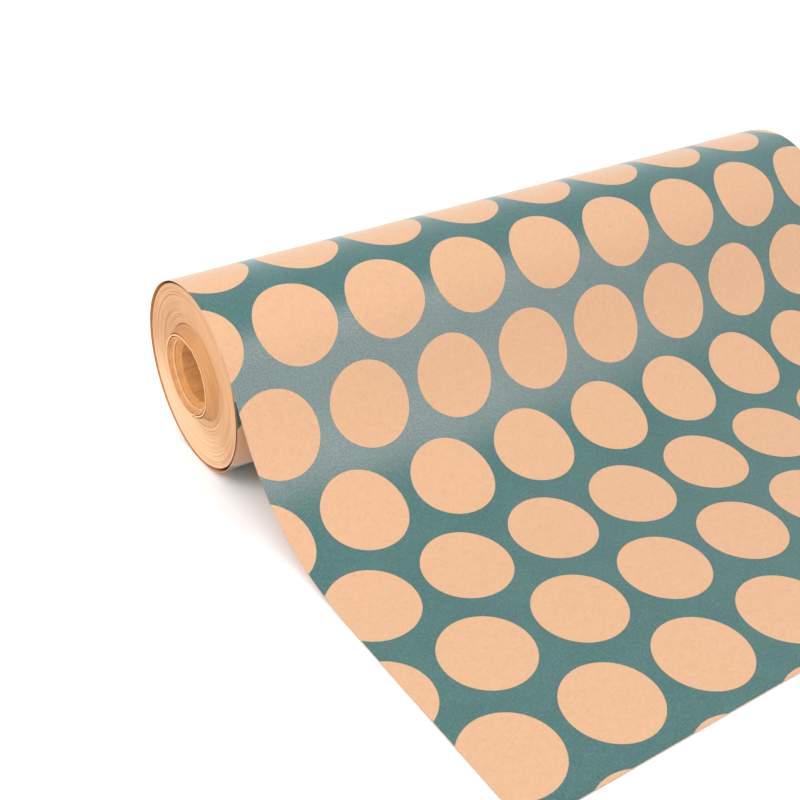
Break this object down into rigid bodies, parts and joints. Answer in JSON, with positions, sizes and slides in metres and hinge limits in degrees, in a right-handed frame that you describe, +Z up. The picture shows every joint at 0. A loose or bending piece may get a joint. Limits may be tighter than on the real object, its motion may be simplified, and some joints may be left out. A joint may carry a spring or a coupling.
{
  "type": "wrapping paper roll",
  "caption": "Counter roll of dotted kraft wrapping paper on a nested tube core, with a loose last turn and its free end unrolled onto the table.",
  "frame": {"origin": "centre of the core's bore, midway along the paper's width, on the axis the roll turns about", "axes": "+X along the roll's axis, from the end where the core stands out to the other; -Y forwards, where the free end lies; +Z up from the table"},
  "size_m": [0.5065, 0.3905, 0.12],
  "materials": {
    "printed_paper": "kraft paper, teal ink round bare kraft dots, soft sheen",
    "wound_paper": "cut edges of kraft paper, matte",
    "paper_tape": "cream paper tape, matte",
    "core_board": "plain grey-brown core board, matte"
  },
  "bodies": {
    "sheet": {"last_turn": "printed_paper", "free_end": "printed_paper"},
    "roll": {"wound_paper": "wound_paper", "start_tape": "paper_tape", "core_outer_tube": "core_board", "core_middle_tube": "core_board", "core_inner_tube": "core_board"}
  },
  "joints": [
    {"name": "roll_turn", "type": "hinge", "parent": "sheet", "child": "roll", "pos_m": [0, 0, 0], "axis": [1, 0, 0], "continuous": true}
  ]
}
